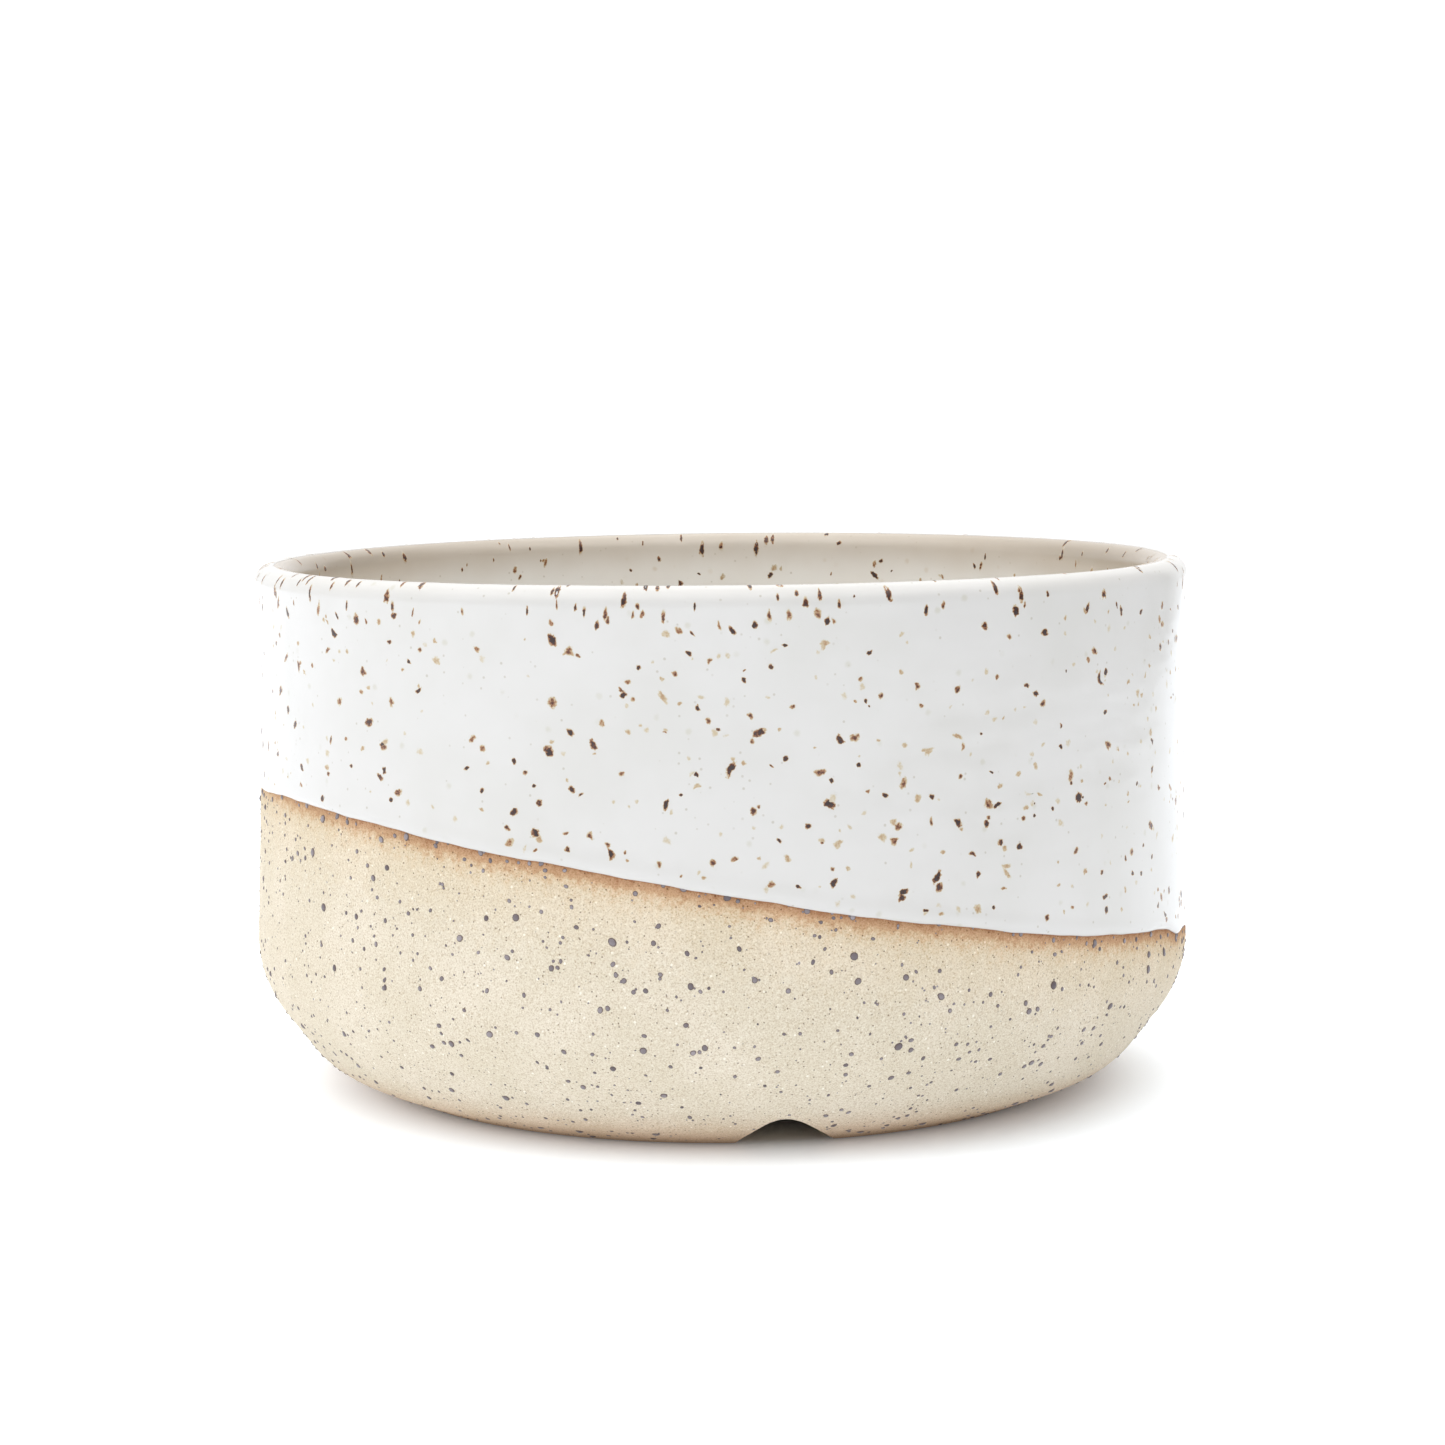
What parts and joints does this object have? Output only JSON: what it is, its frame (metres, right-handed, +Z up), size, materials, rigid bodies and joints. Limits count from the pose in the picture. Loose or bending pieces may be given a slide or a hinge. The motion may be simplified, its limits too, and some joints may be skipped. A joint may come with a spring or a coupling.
{
  "type": "matcha bowl",
  "caption": "Hand-thrown stoneware tea bowl with upright walls, a rounded lip, a slanted dip of speckled white glaze over bare clay, and a low foot ring with a drain notch.",
  "frame": {"origin": "centre of the foot ring's flat face, on the surface that the bowl stands on", "axes": "+Z up along the bowl's axis; -Y is the front, where the glaze line slants down from left to right and the foot's notch lies just right of the middle; +X to the right"},
  "size_m": [0.1213, 0.1211, 0.0676],
  "materials": {
    "bare_stoneware": "unglazed, matt and sandy, with iron specks",
    "liner_glaze": "glossy, with brown iron specks",
    "dip_glaze": "glossy white, with brown iron specks"
  },
  "bodies": {
    "root": {"clay_body": "bare_stoneware", "liner_glaze": "liner_glaze", "dip_glaze": "dip_glaze"}
  },
  "joints": []
}
